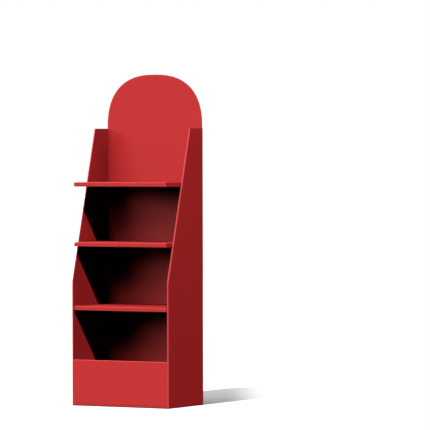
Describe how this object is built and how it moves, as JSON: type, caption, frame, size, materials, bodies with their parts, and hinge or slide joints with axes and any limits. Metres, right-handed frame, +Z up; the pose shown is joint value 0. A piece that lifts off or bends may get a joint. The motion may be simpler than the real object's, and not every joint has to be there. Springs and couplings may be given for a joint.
{
  "type": "cardboard display stand",
  "caption": "Tall free-standing shop display stand of folded board with an arched header, slanted side walls, shelves with turned-down lips and a closed base.",
  "frame": {"origin": "middle of the footprint, on the floor", "axes": "+Z up, -Y towards the open front, +X to the right seen from the front"},
  "size_m": [0.502, 0.313, 1.49],
  "materials": {
    "red_board": "matte",
    "plain_board": "matte"
  },
  "bodies": {
    "root": {"body_wrap": "red_board", "left_side_liner": "red_board", "right_side_liner": "red_board", "lower_shelf": "red_board", "middle_shelf": "red_board", "top_shelf": "red_board", "base_front": "red_board", "base_tray": "red_board", "base_deck": "red_board", "base_rib_long": "plain_board", "base_rib_left": "plain_board", "base_rib_right": "plain_board"}
  },
  "joints": []
}
